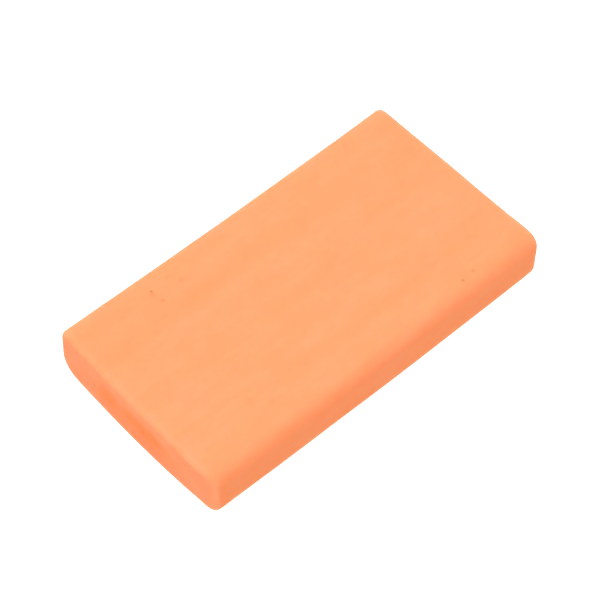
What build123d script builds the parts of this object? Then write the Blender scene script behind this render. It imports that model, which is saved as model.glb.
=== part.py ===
from build123d import *
import os

# Clay bar: one solid block of detailing clay, extruded as a flat bar and cut to length.
# Frame: origin at the centre of the rest face, +X along the extrusion, +Z up.
# The -X end is the cut that bows outward, and the -Y side is the one that bulges.

# Driving dimensions, in millimetres
bar_length = 91.0
bar_width = 50.0
bar_thickness = 13.5

# Rounds along the four edges of the extruded section
top_hollow_side_radius = 2.9
top_bulging_side_radius = 3.0
bottom_bulging_side_radius = 3.7
bottom_hollow_side_radius = 5.0

# How the soft bar departs from a straight, square block
side_bend = 0.37
cut_bow = 0.8
cut_skew = 0.75

# Rounds on the rims of the two ends
bowed_rim_radius = 1.25
square_rim_radius = 1.2


def side(across):
    """A long side in plan, at +1 or -1 half widths: bent so that its middle is set over to -Y."""
    half_length = bar_length / 2
    y = across * bar_width / 2
    skew = across * cut_skew / 2
    return ThreePointArc((-half_length + skew, y), (0, y - side_bend), (half_length, y))


def plan():
    """The bar seen from above: two bent sides, the bowed and skewed cut, and the square end."""
    hollow_side = side(1)
    bulging_side = side(-1)
    cut_middle = (-bar_length / 2 - cut_bow, 0)
    outline = [
        hollow_side,
        Line(hollow_side @ 1, bulging_side @ 1),
        bulging_side,
        ThreePointArc(bulging_side @ 0, cut_middle, hollow_side @ 0),
    ]
    return make_face(outline)


def round_long_edge(block, y_sign, z, radius):
    """Rounds the long edge that lies at this height, on the side of this sign."""
    level = block.edges().filter_by_position(Axis.Z, z, z)
    edge = level.sort_by(Axis.Y)[-1 if y_sign > 0 else 0]
    return fillet(edge, radius)


def clay_bar():
    """The block with its long edges rounded, then the rims of its ends, centred over the origin."""
    block = extrude(plan(), bar_thickness)
    block = round_long_edge(block, 1, bar_thickness, top_hollow_side_radius)
    block = round_long_edge(block, -1, bar_thickness, top_bulging_side_radius)
    block = round_long_edge(block, -1, 0, bottom_bulging_side_radius)
    block = round_long_edge(block, 1, 0, bottom_hollow_side_radius)
    block = fillet(block.faces().sort_by(Axis.X)[0].edges(), bowed_rim_radius)
    block = fillet(block.faces().sort_by(Axis.X)[-1].edges(), square_rim_radius)
    middle = block.bounding_box().center()
    return block.moved(Location((-middle.X, -middle.Y, 0)))


bar = clay_bar()
bar.label = "clay_bar"
os.makedirs("parts", exist_ok=True)
export_step(bar, "parts/clay_bar.step")
box = bar.bounding_box()
print(f"clay_bar: {box.size.X:.2f} x {box.size.Y:.2f} x {box.size.Z:.2f} mm, {bar.volume / 1000:.2f} cm3")
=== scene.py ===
import math

import bpy
import numpy as np
from mathutils import Matrix, Vector, noise


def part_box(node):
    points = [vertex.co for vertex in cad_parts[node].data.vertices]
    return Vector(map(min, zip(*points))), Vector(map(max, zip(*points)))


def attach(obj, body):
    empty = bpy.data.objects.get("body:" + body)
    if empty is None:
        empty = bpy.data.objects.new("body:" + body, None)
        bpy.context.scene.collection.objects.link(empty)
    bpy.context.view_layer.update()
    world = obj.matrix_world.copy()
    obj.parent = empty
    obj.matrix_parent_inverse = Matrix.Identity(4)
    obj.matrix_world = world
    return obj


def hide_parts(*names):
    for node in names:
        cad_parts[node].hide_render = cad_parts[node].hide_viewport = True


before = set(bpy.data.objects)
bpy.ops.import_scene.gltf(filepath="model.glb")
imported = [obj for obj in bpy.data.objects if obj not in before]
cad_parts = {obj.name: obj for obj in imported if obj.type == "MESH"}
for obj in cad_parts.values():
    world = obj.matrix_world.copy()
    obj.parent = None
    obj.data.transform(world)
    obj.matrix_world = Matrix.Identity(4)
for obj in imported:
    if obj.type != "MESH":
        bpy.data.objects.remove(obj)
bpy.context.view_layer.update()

# The block is worked out in millimetres, in the frame's own axes, and scaled as its mesh is filled.
MM = 0.001
LOW, HIGH = (np.array(corner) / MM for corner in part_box("clay_bar"))
THICKNESS = HIGH[2]

# The slight bend that sets the middle over to -Y, and the bowed and skewed cut at -X
SIDE_BEND = 0.37
CUT_BOW = 0.8
CUT_SKEW = 0.75
STRAIGHT_WIDTH = HIGH[1] - LOW[1] - SIDE_BEND
STRAIGHT_LENGTH = HIGH[0] - LOW[0] - CUT_BOW
MIDDLE_X = HIGH[0] - STRAIGHT_LENGTH / 2

# Rounds along the section's edges, from the one at -Y and the bottom, and on the rims of the ends
SECTION_ROUNDS = (3.7, 5.0, 2.9, 3.0)
NEAR_RIM = 1.25
FAR_RIM = 1.2

# Quads across and up a section, in half of each rounded corner, along the bar and over each rim
QUADS_ACROSS = 128
QUADS_UP = 44
QUADS_HALF_CORNER = 7
QUADS_ALONG = 200
QUADS_RIM = 6


# ------------------------------------------------------------------ plain shape of the block


def section_side(corner, radius, next_corner, next_radius, quads):
    """One side of the section, from the middle of one rounded corner to the middle of the next."""
    corner, next_corner = np.array(corner, float), np.array(next_corner, float)
    along = (next_corner - corner) / np.linalg.norm(next_corner - corner)
    outward = np.array([along[1], -along[0]])
    turn = np.radians(45 * np.linspace(1, 0, QUADS_HALF_CORNER + 1))[:, None]
    first_out = outward * np.cos(turn) - along * np.sin(turn)
    last_out = (outward * np.cos(turn) + along * np.sin(turn))[::-1]
    first = corner + radius * (along - outward) + radius * first_out
    last = next_corner - next_radius * (along + outward) + next_radius * last_out
    flat = np.linspace(first[-1], last[0], quads - 2 * QUADS_HALF_CORNER + 1)[1:-1]
    flat_out = np.tile(outward, (len(flat), 1))
    return np.concatenate([first, flat, last]), np.concatenate([first_out, flat_out, last_out])


def section_ring():
    """The section's outline as (y, z) points and outward directions: bottom, +Y, top and -Y side."""
    half = STRAIGHT_WIDTH / 2
    corners = [(-half, 0), (half, 0), (half, THICKNESS), (-half, THICKNESS)]
    quads = [QUADS_ACROSS, QUADS_UP] * 2
    points, outward = [], []
    for i in range(4):
        j = (i + 1) % 4
        side = section_side(corners[i], SECTION_ROUNDS[i], corners[j], SECTION_ROUNDS[j], quads[i])
        points.append(side[0][:-1])
        outward.append(side[1][:-1])
    return np.concatenate(points), np.concatenate(outward)


def near_end(y):
    """X of the bowed, skewed cut."""
    across = 2 * y / STRAIGHT_WIDTH
    return LOW[0] + CUT_BOW * across**2 + CUT_SKEW / 2 * across


def far_end(y):
    """X of the square end."""
    return np.full_like(y, HIGH[0])


def rim_rings(section, outward, radius):
    """(y, z) points and distance in from the end, for each ring from an end face to the sides."""
    for angle in np.linspace(0, math.pi / 2, QUADS_RIM + 1):
        inset = radius * (1 - math.sin(angle))
        yield section - inset * outward, radius * (1 - math.cos(angle))


def block_rings():
    """All rings from the near end face's outline to the far one's, as one array of points."""
    section, outward = section_ring()
    near, far = [], []
    for yz, inward in rim_rings(section, outward, NEAR_RIM):
        near.append(np.column_stack([near_end(yz[:, 0]) + inward, yz]))
    for yz, inward in rim_rings(section, outward, FAR_RIM):
        far.append(np.column_stack([far_end(yz[:, 0]) - inward, yz]))
    shares = np.linspace(0, 1, QUADS_ALONG + 1)[1:-1]
    between = [near[-1] + share * (far[-1] - near[-1]) for share in shares]
    return np.array(near + between + far[::-1])


def ring_as_grid(ring):
    """The grid of an end face with its four borders filled from a ring, and the rest at nought."""
    grid = np.zeros((QUADS_UP + 1, QUADS_ACROSS + 1) + ring.shape[1:], ring.dtype)
    around = np.concatenate([ring, ring[:1]])
    left, top, right = QUADS_ACROSS, QUADS_ACROSS + QUADS_UP, 2 * QUADS_ACROSS + QUADS_UP
    grid[0] = around[: left + 1]
    grid[:, -1] = around[left : top + 1]
    grid[-1] = around[top : right + 1][::-1]
    grid[:, 0] = around[right:][::-1]
    return grid


def end_face(ring):
    """Points of an end face, blended between its four borders."""
    grid = ring_as_grid(ring)
    up = np.linspace(0, 1, QUADS_UP + 1)[:, None, None]
    across = np.linspace(0, 1, QUADS_ACROSS + 1)[None, :, None]
    between_rows = (1 - up) * grid[:1] + up * grid[-1:]
    between_columns = (1 - across) * grid[:, :1] + across * grid[:, -1:]
    ends = (1 - across) * between_rows[:, :1] + across * between_rows[:, -1:]
    return between_rows + between_columns - ends


def quads_of(grid):
    """Four corners for each quad of a grid of vertex numbers."""
    corners = [grid[:-1, :-1], grid[:-1, 1:], grid[1:, 1:], grid[1:, :-1]]
    return np.stack(corners, axis=-1).reshape(-1, 4)


def plain_block():
    """Points and quads of the straight block with its two end faces."""
    rings = block_rings()
    count, around = rings.shape[:2]
    numbers = np.arange(count * around).reshape(count, around)
    closed = np.concatenate([numbers, numbers[:, :1]], axis=1)
    points = [rings.reshape(-1, 3)]
    quads = [quads_of(closed)]
    for ring, end, order in ((0, near_end, -1), (-1, far_end, 1)):
        face = end_face(rings[ring])[1:-1, 1:-1].reshape(-1, 3)
        face[:, 0] = end(face[:, 1])
        grid = ring_as_grid(numbers[ring])
        first = sum(len(p) for p in points)
        grid[1:-1, 1:-1] = first + np.arange(len(face)).reshape(QUADS_UP - 1, QUADS_ACROSS - 1)
        points.append(face)
        quads.append(quads_of(grid)[:, ::order])
    return np.concatenate(points), np.concatenate(quads)


def bend(points):
    """The block bent a little in plan."""
    x = points[:, 0] - MIDDLE_X
    set_over = SIDE_BEND * (1 - (2 * x / STRAIGHT_LENGTH) ** 2)
    bent = points.copy()
    bent[:, 1] += SIDE_BEND / 2 - set_over
    return bent


# ------------------------------------------------------------------ relief of soft, handled clay

# Waves and ripples all over, lines that the die leaves along the sides, and lines that the knife
# drags up the cuts: height, size along X, Y and Z, and seed
WAVES = (0.07, (26, 14, 9), 1)
RIPPLES = (0.02, (9, 5, 5), 2)
DIE_LINES = (0.018, (45, 1.6, 1.6), 3)
DRAG_LINES = (0.02, (4, 1.3, 9), 4)

# How far apart noises of neighbouring seeds are taken, in multiples of their size
SEED_STEP = (17.3, 5.1, 29.7)

# Share of the waves and die lines that the underside loses by resting on something flat
PRESSED_FLAT = 0.8

# How far a face is turned along the bar where drag lines start to replace die lines, and where
# they have, then how far one is turned down where it starts to be the underside, and wholly is
DRAGGED_FACING = (0.3, 0.95)
UNDER_FACING = (0.2, 0.9)

# How the -Y top edge is pressed in and swollen out along the bar: X, reach along X and depth, then
# the reach across the edge and how far inside the block's corner the middles lie
EDGE_PRESSES = [
    (0.0, 60.0, 0.12),
    (-38.0, 6.0, -0.10),
    (-20.0, 8.0, 0.10),
    (-2.0, 5.5, 0.45),
    (8.5, 4.5, 0.27),
    (18.0, 4.0, 0.20),
    (25.5, 4.0, -0.14),
    (36.0, 5.0, -0.08),
]
EDGE_REACH = 2.4
EDGE_INSET = 0.9

# Small dents and bumps from handling: place, radius and depth, which is less than nought for a bump
DENTS = [
    ((LOW[0] + 0.3, -20.5, 1.0), 4.5, 0.20),
    ((LOW[0] + 0.6, -14.5, 0.8), 4.5, 0.08),
    ((LOW[0] + 1.2, 14.0, 2.5), 5.0, -0.05),
    ((LOW[0] + 2.9, LOW[1] + 0.5, 1.0), 2.0, -0.12),
    ((HIGH[0] - 0.5, -20.5, 12.7), 4.0, -0.08),
    ((HIGH[0] - 0.3, LOW[1] + 1.2, 8.5), 3.0, -0.04),
    ((HIGH[0], LOW[1] + 1.2, 1.8), 2.5, 0.07),
    ((-12.0, LOW[1], 5.0), 6.0, 0.07),
    ((21.0, LOW[1], 8.0), 5.0, 0.06),
    ((34.0, HIGH[1], 6.0), 4.5, 0.1),
    ((-20.0, HIGH[1], 7.0), 7.0, 0.08),
    ((HIGH[0], 9.0, 6.0), 5.0, 0.12),
]

# The hollow in each cut: its middle (Y, Z), half width and half height, then its depth
NEAR_HOLLOW = (0.0, 6.5, 19.0, 5.4)
NEAR_HOLLOW_DEPTH = 0.35
FAR_HOLLOW = (2.0, 6.6, 17.0, 5.6)
FAR_HOLLOW_DEPTH = 0.25

# Painted shade, a deeper colour, over a whole hollow, and in two darker places inside the near one
HOLLOW_SHADE = 0.58
DARKEST_SHADE_PLACES = [
    ((-2.5, 7.3, 7.0, 2.6), 0.45),
    ((9.5, 6.9, 4.0, 4.0), 0.30),
]

# Small pits where the clay has pulled apart in the near hollow: places (Y, Z), radius and depth
PITS = [(2.5, 6.4), (-2.3, 6.4), (-6.6, 6.9), (8.7, 5.9)]
PIT_RADIUS = 0.55
PIT_DEPTH = 0.12

# How far the top of the near cut leans out at its -Y corner, how far that reaches along the bar,
# and how far to -Y of the middle it starts
LEAN = 0.47
LEAN_REACH = 12.0
LEAN_START = 2.0

# How far in from the end a hollow and its pits still show on a cut: in full, and at all
CUT_SKIN = (0.6, 1.2)

# The painted highlight, a paler rim along each cut: how far it reaches from the end, how far it
# stays in full, and how many times narrower it is across the cut and round the upright corners
HIGHLIGHT_REACH = 2.4
HIGHLIGHT_FULL = 0.8
HIGHLIGHT_NARROWER = 1.6

# How far from the broad faces an upright corner starts, and is wholly one
UPRIGHT_FROM = (1.0, 3.0)

# Turned up or down at least this much, a face is a broad one and takes the full painted sheen, with a
# soft change to the sides
BROAD_FACING = 0.85
BROAD_CHANGE = 0.7

# Turned this much along the bar, a face starts to be a cut, and is wholly one
CUT_FACING = (0.55, 0.98)


def noise_at(points, size, seed):
    """Smooth noise, about -1 to 1, whose bumps are about this size along X, Y and Z."""
    scaled = points / np.array(size) + seed * np.array(SEED_STEP)
    return np.array([noise.noise(Vector(p)) for p in scaled])


def smooth_step(value, start, end):
    """0 before start, 1 after end, with a soft change between."""
    share = np.clip((value - start) / (end - start), 0, 1)
    return share * share * (3 - 2 * share)


def lean(points):
    """The straight block with the near cut leaning out at its top corner on the -Y side."""
    from_cut = points[:, 0] - near_end(points[:, 1])
    near = smooth_step(from_cut, LEAN_REACH, 0)
    towards_corner = smooth_step(-points[:, 1], LEAN_START, STRAIGHT_WIDTH / 2)
    leaning = points.copy()
    leaning[:, 0] -= LEAN * near * towards_corner * points[:, 2] / THICKNESS
    return leaning


def on_cut(points, end):
    """1 on an end face, falling to 0 a little way in from the end."""
    full, none = CUT_SKIN
    return smooth_step(np.abs(points[:, 0] - end(points[:, 1])), none, full)


def hollow(points, end, middle_y, middle_z, half_width, half_height):
    """1 in the middle of the hollow in an end face, falling to 0 at its border and off the face."""
    across = (points[:, 1] - middle_y) / half_width
    up = (points[:, 2] - middle_z) / half_height
    return on_cut(points, end) * np.clip(1 - across**2 - up**2, 0, 1)


def hollow_painted_shade(points):
    """Painted shade in the hollows: 0 outside them, and about 1 where it is darkest."""
    hollows = hollow(points, near_end, *NEAR_HOLLOW) + hollow(points, far_end, *FAR_HOLLOW)
    total = HOLLOW_SHADE * hollows
    for place, share in DARKEST_SHADE_PLACES:
        total += share * hollow(points, near_end, *place)
    return total


def pits(points):
    """1 in the middle of each small pit in the near hollow, falling to 0 around it. The material also
    darkens the pits with it, as painted shade.
    """
    total = np.zeros(len(points))
    for y, z in PITS:
        squared = (points[:, 1] - y) ** 2 + (points[:, 2] - z) ** 2
        total += np.exp(-squared / PIT_RADIUS**2)
    return on_cut(points, near_end) * total


def dent(points, place, radius, depth):
    """Depth of one dent at each point. Its radius is one number, or one for each axis."""
    distance = np.linalg.norm((points - np.array(place)) / radius, axis=1)
    return depth * np.exp(-(distance**2))


def dents(points):
    """Depth of the pressed top edge and of all the small dents at each point."""
    total = np.zeros(len(points))
    for x, reach, depth in EDGE_PRESSES:
        place = (x, LOW[1] + EDGE_INSET, THICKNESS - EDGE_INSET)
        total += dent(points, place, (reach, EDGE_REACH, EDGE_REACH), depth)
    for place, radius, depth in DENTS:
        total += dent(points, place, radius, depth)
    return total


def lines(points, height, size, seed):
    """Waves or lines of this height, from noise of this size."""
    return height * noise_at(points, size, seed)


def relief(points, normals):
    """How far out along its normal each point moves, from its place in the straight block."""
    on_end = smooth_step(np.abs(normals[:, 0]), *DRAGGED_FACING)
    under = smooth_step(-normals[:, 2], *UNDER_FACING)
    moved = lines(points, *WAVES) + lines(points, *RIPPLES)
    moved += (1 - on_end) * lines(points, *DIE_LINES)
    moved *= 1 - PRESSED_FLAT * under
    moved += on_end * lines(points, *DRAG_LINES)
    moved -= NEAR_HOLLOW_DEPTH * hollow(points, near_end, *NEAR_HOLLOW)
    moved -= FAR_HOLLOW_DEPTH * hollow(points, far_end, *FAR_HOLLOW)
    return moved - PIT_DEPTH * pits(points) - dents(points)


def from_outline(points):
    """How far in from the section's rounded outline each point of the straight block is."""
    low_minus, low_plus, top_plus, top_minus = SECTION_ROUNDS
    plus = points[:, 1] > 0
    top_radius = np.where(plus, top_plus, top_minus)
    low_radius = np.where(plus, low_plus, low_minus)
    radius = np.where(points[:, 2] > THICKNESS / 2, top_radius, low_radius)
    past_y = np.abs(points[:, 1]) - STRAIGHT_WIDTH / 2 + radius
    past_z = np.abs(points[:, 2] - THICKNESS / 2) - THICKNESS / 2 + radius
    round_part = np.hypot(np.maximum(past_y, 0), np.maximum(past_z, 0))
    flat_part = np.minimum(np.maximum(past_y, past_z), 0)
    return radius - round_part - flat_part


def painted_rim_highlight(points):
    """Painted highlight: 1 on the rounded rims of the cuts, falling to 0 a little way onto every face
    beside them.
    """
    from_near = points[:, 0] - near_end(points[:, 1])
    from_far = far_end(points[:, 1]) - points[:, 0]
    from_broad = np.minimum(points[:, 2], THICKNESS - points[:, 2])
    upright = smooth_step(from_broad, *UPRIGHT_FROM)
    along = np.minimum(from_near, from_far) * (1 + (HIGHLIGHT_NARROWER - 1) * upright)
    return smooth_step(along + HIGHLIGHT_NARROWER * from_outline(points), HIGHLIGHT_REACH, HIGHLIGHT_FULL)


def make_mesh(name, points, quads):
    """A smooth-shaded mesh object, from points in millimetres."""
    mesh = bpy.data.meshes.new(name)
    mesh.from_pydata((points * MM).tolist(), [], quads.tolist())
    mesh.polygons.foreach_set("use_smooth", np.ones(len(quads), bool))
    mesh.update()
    piece = bpy.data.objects.new(name, mesh)
    bpy.context.scene.collection.objects.link(piece)
    return piece


def set_attribute(mesh, name, values):
    """Stores one number per vertex for the material to read."""
    attribute = mesh.attributes.new(name, "FLOAT", "POINT")
    attribute.data.foreach_set("value", values.astype(np.float32))


def vertex_normals(mesh):
    """The mesh's unit normals, one row per vertex."""
    normals = np.zeros(len(mesh.vertices) * 3, np.float32)
    mesh.vertex_normals.foreach_get("vector", normals)
    return normals.reshape(-1, 3).astype(float)


def clay_block():
    """The block with its relief, resting flat, and the numbers that its material reads."""
    points, quads = plain_block()
    straight = points
    points = bend(lean(points))
    piece = make_mesh("clay_block", points, quads)
    normals = vertex_normals(piece.data)
    points += relief(straight, normals)[:, None] * normals
    points[:, 2] = np.maximum(points[:, 2], 0)
    piece.data.vertices.foreach_set("co", (points * MM).ravel())
    piece.data.update()

    facing_end, _, facing_up = np.abs(vertex_normals(piece.data)).T
    # How far each face takes the painted sheen that makes the broad faces paler than the sides
    set_attribute(piece.data, "broad", np.clip(facing_up / BROAD_FACING, 0, 1) ** BROAD_CHANGE)
    set_attribute(piece.data, "cut", smooth_step(facing_end, *CUT_FACING))
    # Where the cut rims get their painted highlight, a paler colour
    set_attribute(piece.data, "rim_highlight", painted_rim_highlight(straight))
    # Painted shade in the hollows of the cuts, read as a deeper colour
    set_attribute(piece.data, "closed", hollow_painted_shade(straight))
    # The pits also get painted shade, a deeper colour
    set_attribute(piece.data, "pits", pits(straight))
    return piece


# ------------------------------------------------------------------ clay material

# Colours of the long sides, the broad faces painted paler as a sheen, the cuts, the painted highlight
# on their rims and the painted shade in their hollows
SIDE = (0.97, 0.265, 0.099)
BROAD_PAINTED_SHEEN = (0.97, 0.322, 0.153)
CUT = (0.97, 0.270, 0.120)
RIM_PAINTED_HIGHLIGHT = (0.97, 0.335, 0.168)
HOLLOW_SHADE_COLOUR = (0.97, 0.226, 0.069)

# The painted shade in a hollow at which it has its deepest colour
HOLLOW_SHADE_IN_FULL = 0.9

# Tints that multiply the colour: deeper and paler orange, specks of dirt and faint smudges
DEEPER = (1.0, 0.94, 0.86)
PALER = (1.0, 1.03, 1.07)
DIRT = (0.30, 0.44, 0.25)
SMUDGE = (0.30, 0.72, 0.56)

# How matt the clay is, how much that varies and in patches of which size, how much rougher the
# cuts are, and its faint shine
ROUGHNESS = 0.75
ROUGHNESS_SPREAD = 0.07
ROUGHNESS_PATCHES = (3.0, 3.0, 3.0)
ROUGHER_CUT = 0.06
SHINE = 0.15
IOR = 1.45

# How deep light goes in, and the shares of that for red, green and blue
LIGHT_DEPTH = 1.6
LIGHT_DEPTHS = (1.0, 0.5, 0.28)

# Fine bump all over, and fine lines along the extrusion: size along X, Y and Z, and height
FINE_BUMP = ((0.35, 0.35, 0.35), 0.010)
LINE_BUMP = ((20.0, 0.5, 0.5), 0.008)

# Grain that deepens the colour and frays the specks: size and strength
GRAIN_SIZE = (0.5, 0.5, 0.5)
GRAIN_STRENGTH = 0.5

# The part of a noise over which a mark of the marbling comes in
MARK_EDGE = (0.36, 0.64)

# Marbling all through the clay: size of its marks along X, Y and Z, detail and strength
MARBLING = [
    ((13.0, 6.0, 6.0), 3, 0.45),
    ((40.0, 3.0, 3.0), 2, 0.35),
    ((4.0, 2.5, 2.5), 3, 0.40),
]

# Streaks along or across the top face: middle (X, Y), half size along X and Y, tint and strength,
# then how deep they go, and the shares of their size where they start to fade and have faded
STREAKS = [
    ((4.0, -14.8), 46.0, 2.4, DEEPER, 0.55),
    ((0.0, 12.3), 60.0, 2.8, DEEPER, 0.35),
    ((-12.0, -0.8), 28.0, 3.0, DEEPER, 0.3),
    ((-5.0, 19.2), 17.0, 2.8, PALER, 1.0),
    ((0.0, -19.5), 60.0, 2.4, PALER, 0.3),
    ((-35.5, -4.0), 3.0, 12.0, PALER, 0.25),
    ((-34.0, 10.5), 9.0, 4.0, DEEPER, 0.5),
]
STREAK_DEPTH = 4.0
STREAK_FADE = (0.2, 1.2)

# How the streaks waver: size of the waves and how far they go, along X, Y and Z
WAVER_SIZE = (16.0, 5.0, 5.0)
WAVER = (20.0, 4.0, 0.0)

# Specks in the clay: place, radius, tint and strength, then how far the grain frays their edges,
# and the share of the radius over which they are in full
SPECKS = [
    ((-24.5, 19.6, THICKNESS), 0.55, DIRT, 0.55),
    ((-24.7, 18.9, THICKNESS), 1.10, SMUDGE, 0.28),
    ((-24.1, 16.2, THICKNESS), 0.85, SMUDGE, 0.43),
    ((-17.9, 17.7, THICKNESS), 1.00, SMUDGE, 0.36),
    ((-19.5, 20.2, THICKNESS), 0.80, SMUDGE, 0.25),
    ((-24.2, -17.8, THICKNESS), 1.20, SMUDGE, 0.25),
    ((-27.4, -14.8, THICKNESS), 1.20, SMUDGE, 0.22),
    ((25.9, -21.8, THICKNESS), 0.55, DIRT, 0.55),
    ((29.3, -21.4, THICKNESS), 0.75, SMUDGE, 0.44),
    ((32.4, 21.5, THICKNESS), 0.80, SMUDGE, 0.30),
    ((LOW[0] + 0.5, 13.9, 5.8), 0.75, DIRT, 0.22),
    ((LOW[0] + 0.1, -16.9, 11.5), 0.40, DIRT, 0.35),
]
SPECK_FRAYING = 0.5
SPECK_CORE = 0.2

# Sparse specks below the top face: spacing, smallest and largest radius as shares of it, strength,
# and how far below the top they start and are in full
SPARSE_SPACING = 7.0
SPARSE_RADII = (0.01, 0.055)
SPARSE_STRENGTH = 0.5
SPARSE_BELOW = (1.5, 2.5)


class Nodes:
    """Short calls for building one material's node tree."""

    def __init__(self, material):
        self.tree = material.node_tree
        self.tree.nodes.clear()

    def add(self, kind, inputs=None, **settings):
        """A node with its settings, and its inputs set to values or linked to outputs."""
        node = self.tree.nodes.new(kind)
        for key, value in settings.items():
            setattr(node, key, value)
        for key, value in (inputs or {}).items():
            if isinstance(value, bpy.types.NodeSocket):
                self.tree.links.new(value, node.inputs[key])
            else:
                node.inputs[key].default_value = value
        return node

    def math(self, operation, a, b=0.0):
        """One operation on numbers."""
        return self.add("ShaderNodeMath", {0: a, 1: b}, operation=operation).outputs[0]

    def vector(self, operation, a, b=(0.0, 0.0, 0.0)):
        """One operation on vectors."""
        return self.add("ShaderNodeVectorMath", {0: a, 1: b}, operation=operation).outputs[0]

    def spread(self, value, start, end, low=0.0, high=1.0):
        """Value from start to end, spread softly from low to high."""
        inputs = {"Value": value, "From Min": start, "From Max": end, "To Min": low, "To Max": high}
        node = self.add("ShaderNodeMapRange", inputs, interpolation_type="SMOOTHSTEP")
        return node.outputs["Result"]

    def noise(self, place, size, detail=2.0, roughness=0.55):
        """Noise whose marks are about this size in millimetres along X, Y and Z."""
        scaled = self.vector("DIVIDE", place, size)
        inputs = {"Vector": scaled, "Scale": 1.0, "Detail": detail, "Roughness": roughness}
        return self.add("ShaderNodeTexNoise", inputs).outputs["Fac"]

    def mix(self, share, a, b, blend="MIX"):
        """Colour a, turning to colour b, or to a times b, as share goes from 0 to 1."""
        node = self.add("ShaderNodeMix", data_type="RGBA", blend_type=blend)
        for socket, value in ((node.inputs[0], share), (node.inputs[6], a), (node.inputs[7], b)):
            if isinstance(value, bpy.types.NodeSocket):
                self.tree.links.new(value, socket)
            elif isinstance(value, tuple):
                socket.default_value = value + (1.0,)
            else:
                socket.default_value = value
        return node.outputs[2]

    def tint(self, share, colour, tint):
        """The colour, turning to itself times the tint as share goes from 0 to 1."""
        return self.mix(share, colour, tint, "MULTIPLY")

    def attribute(self, name):
        """A number that the mesh holds at each vertex."""
        return self.add("ShaderNodeAttribute", attribute_name=name).outputs["Fac"]


def face_colours(n):
    """The plain colour of each kind of face, from the numbers on the mesh, with a painted sheen on the
    broad faces, a painted highlight on the cut rims and painted shade in the hollows and pits.
    """
    # Painted sheen: the broad faces paler than the long sides
    colour = n.mix(n.attribute("broad"), SIDE, BROAD_PAINTED_SHEEN)
    colour = n.mix(n.attribute("cut"), colour, CUT)
    # Painted highlight: the rims of the cuts paler
    colour = n.mix(n.attribute("rim_highlight"), colour, RIM_PAINTED_HIGHLIGHT)
    # Painted shade: the hollows of the cuts a deeper colour
    colour = n.mix(n.spread(n.attribute("closed"), 0.0, HOLLOW_SHADE_IN_FULL), colour, HOLLOW_SHADE_COLOUR)
    # Painted shade: the pits a deeper colour
    return n.tint(n.attribute("pits"), colour, DEEPER)


def marbled(n, place, colour):
    """Clouds, extrusion streaks and fine marbling, each a little deeper than the clay."""
    for size, detail, strength in MARBLING:
        marks = n.noise(place, size, detail)
        colour = n.tint(n.spread(marks, *MARK_EDGE, 0.0, strength), colour, DEEPER)
    return colour


def wavering(n, place):
    """The place moved by slow waves, so that what is drawn there wavers."""
    inputs = {"Vector": n.vector("DIVIDE", place, WAVER_SIZE), "Scale": 1.0}
    waves = n.add("ShaderNodeTexNoise", inputs).outputs["Color"]
    centred = n.vector("SUBTRACT", waves, (0.5, 0.5, 0.5))
    return n.vector("ADD", place, n.vector("MULTIPLY", centred, WAVER))


def streaked(n, place, colour):
    """Long wavering streaks just under the top face."""
    moved = wavering(n, place)
    for (x, y), half_along, half_across, tint, strength in STREAKS:
        offset = n.vector("SUBTRACT", moved, (x, y, THICKNESS))
        scaled = n.vector("DIVIDE", offset, (half_along, half_across, STREAK_DEPTH))
        distance = n.add("ShaderNodeVectorMath", {0: scaled}, operation="LENGTH").outputs["Value"]
        colour = n.tint(n.spread(distance, *STREAK_FADE, strength, 0.0), colour, tint)
    return colour


def specked(n, place, grain, colour):
    """The specks that lie singly on the top and the near cut."""
    ragged = n.math("MULTIPLY", n.math("SUBTRACT", grain, 0.5), SPECK_FRAYING)
    for spot, radius, tint, strength in SPECKS:
        inputs = {0: place, 1: spot}
        distance = n.add("ShaderNodeVectorMath", inputs, operation="DISTANCE").outputs["Value"]
        edge = n.math("ADD", distance, ragged)
        colour = n.tint(n.spread(edge, radius * SPECK_CORE, radius, strength, 0.0), colour, tint)
    return colour


def sparsely_specked(n, place, colour):
    """Small specks of random size and place, on every face but the top."""
    cells = n.add("ShaderNodeTexVoronoi", {"Vector": place, "Scale": 1 / SPARSE_SPACING})
    radius = n.spread(cells.outputs["Color"], 0.3, 1.0, *SPARSE_RADII)
    from_middle = n.math("DIVIDE", cells.outputs["Distance"], radius)
    spots = n.spread(from_middle, 0.5, 1.0, SPARSE_STRENGTH, 0.0)
    height = n.add("ShaderNodeSeparateXYZ", {0: place}).outputs["Z"]
    start, full = SPARSE_BELOW
    below_top = n.spread(height, THICKNESS - start, THICKNESS - full)
    return n.tint(n.math("MULTIPLY", spots, below_top), colour, DIRT)


def clay_colour(n, place):
    """The clay's colour with all its marks."""
    grain = n.noise(place, GRAIN_SIZE, 4, 0.65)
    colour = marbled(n, place, face_colours(n))
    colour = streaked(n, place, colour)
    colour = n.tint(n.spread(grain, 0.5, 0.75, 0.0, GRAIN_STRENGTH), colour, DEEPER)
    colour = specked(n, place, grain, colour)
    return sparsely_specked(n, place, colour)


def clay_roughness(n, place):
    """Patches that are a little more and less matt, and rougher cuts."""
    worn = n.noise(place, ROUGHNESS_PATCHES, 4)
    low, high = ROUGHNESS - ROUGHNESS_SPREAD, ROUGHNESS + ROUGHNESS_SPREAD
    roughness = n.spread(worn, 0.3, 0.7, low, high)
    return n.math("ADD", roughness, n.math("MULTIPLY", n.attribute("cut"), ROUGHER_CUT))


def clay_bump(n, place):
    """The normal with fine bump and fine lines along the extrusion."""
    fine_size, fine_height = FINE_BUMP
    line_size, line_height = LINE_BUMP
    fine = n.math("MULTIPLY", n.noise(place, fine_size, 3, 0.6), fine_height)
    along = n.math("MULTIPLY", n.noise(place, line_size), line_height)
    inputs = {"Height": n.math("ADD", fine, along), "Distance": MM, "Strength": 1.0}
    return n.add("ShaderNodeBump", inputs).outputs["Normal"]


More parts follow.
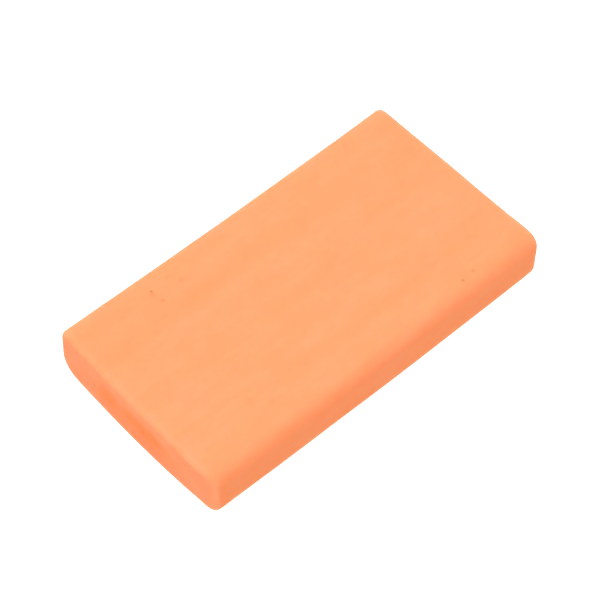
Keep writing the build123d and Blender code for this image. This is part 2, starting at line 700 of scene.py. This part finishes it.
def clay_material():
    """Matt, waxy, translucent clay, marbled and streaked along its extrusion."""
    material = bpy.data.materials.new("detailing_clay")
    material.use_nodes = True
    n = Nodes(material)
    place = n.vector("DIVIDE", n.add("ShaderNodeTexCoord").outputs["Object"], (MM, MM, MM))
    inputs = {
        "Base Color": clay_colour(n, place),
        "Roughness": clay_roughness(n, place),
        "Normal": clay_bump(n, place),
        "IOR": IOR,
        "Specular IOR Level": SHINE,
        "Subsurface Weight": 1.0,
        "Subsurface Radius": LIGHT_DEPTHS,
        "Subsurface Scale": LIGHT_DEPTH * MM,
    }
    shader = n.add("ShaderNodeBsdfPrincipled", inputs)
    n.add("ShaderNodeOutputMaterial", {"Surface": shader.outputs[0]})
    return material


# ------------------------------------------------------------------ stage, light and camera

WHITE = (1.0, 1.0, 1.0)

# Strength of the white tent all round
TENT = 0.41

# The table: half its side in metres, tone, roughness and the glow that makes it pure white
TABLE_HALF = 1.5
TABLE_TONE = (0.25, 0.25, 0.25)
TABLE_ROUGHNESS = 0.6
TABLE_GLOW = 1.01

# The softbox: place and side in metres, and power in watts
KEY_PLACE = (-0.10, 0.0, 0.7)
KEY_SIZE = 0.6
KEY_POWER = 6.4

# The nearest that the camera sees anything, in metres
NEAREST_SEEN = 0.01


def glowing_material(name, colour, roughness, glow):
    """A plain material that also gives off an even white light."""
    material = bpy.data.materials.new(name)
    material.use_nodes = True
    shader = material.node_tree.nodes["Principled BSDF"]
    shader.inputs["Base Color"].default_value = colour + (1.0,)
    shader.inputs["Roughness"].default_value = roughness
    shader.inputs["Emission Color"].default_value = WHITE + (1.0,)
    shader.inputs["Emission Strength"].default_value = glow
    return material


def white_table():
    """A wide light table under the block, whose glow leaves no shadow on it."""
    low, high = -TABLE_HALF, TABLE_HALF
    corners = [(low, low, 0), (high, low, 0), (high, high, 0), (low, high, 0)]
    mesh = bpy.data.meshes.new("white_table")
    mesh.from_pydata(corners, [], [(0, 1, 2, 3)])
    table = bpy.data.objects.new("white_table", mesh)
    material = glowing_material("white_acrylic", TABLE_TONE, TABLE_ROUGHNESS, TABLE_GLOW)
    table.data.materials.append(material)
    bpy.context.scene.collection.objects.link(table)


def soft_light(name, place, size, power):
    """A square softbox that faces the block."""
    light = bpy.data.lights.new(name, "AREA")
    light.size = size
    light.energy = power
    lamp = bpy.data.objects.new(name, light)
    lamp.location = place
    lamp.rotation_euler = Vector(place).to_track_quat("Z", "Y").to_euler()
    bpy.context.scene.collection.objects.link(lamp)


def white_surround(strength):
    """An even white tent all round."""
    world = bpy.data.worlds.new("white_tent")
    world.use_nodes = True
    background = world.node_tree.nodes["Background"]
    background.inputs["Color"].default_value = WHITE + (1.0,)
    background.inputs["Strength"].default_value = strength
    bpy.context.scene.world = world


def camera(azimuth, elevation, roll, distance, lens, shift):
    """A long lens that looks at the block's middle. Azimuth 0 looks along +Y. Angles are in degrees."""
    data = bpy.data.cameras.new("camera")
    data.lens = lens
    data.shift_x, data.shift_y = shift
    data.clip_start = NEAREST_SEEN
    turn = Matrix.Rotation(math.radians(azimuth), 4, "Z")
    tilt = Matrix.Rotation(math.radians(90 - elevation), 4, "X")
    spin = Matrix.Rotation(math.radians(roll), 4, "Z")
    back = Matrix.Translation((0, 0, distance))
    middle = Matrix.Translation((0, 0, THICKNESS / 2 * MM))
    cam = bpy.data.objects.new("camera", data)
    cam.matrix_world = middle @ turn @ tilt @ spin @ back
    bpy.context.scene.collection.objects.link(cam)
    bpy.context.scene.camera = cam


block = clay_block()
block.data.materials.append(clay_material())
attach(block, "root")
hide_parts("clay_bar")

white_table()
white_surround(TENT)
soft_light("key_softbox", KEY_PLACE, KEY_SIZE, KEY_POWER)
camera(azimuth=-43.2, elevation=54.2, roll=1.0, distance=0.5802, lens=165, shift=(-0.0015, 0.0059))
bpy.context.scene.view_settings.view_transform = "Standard"
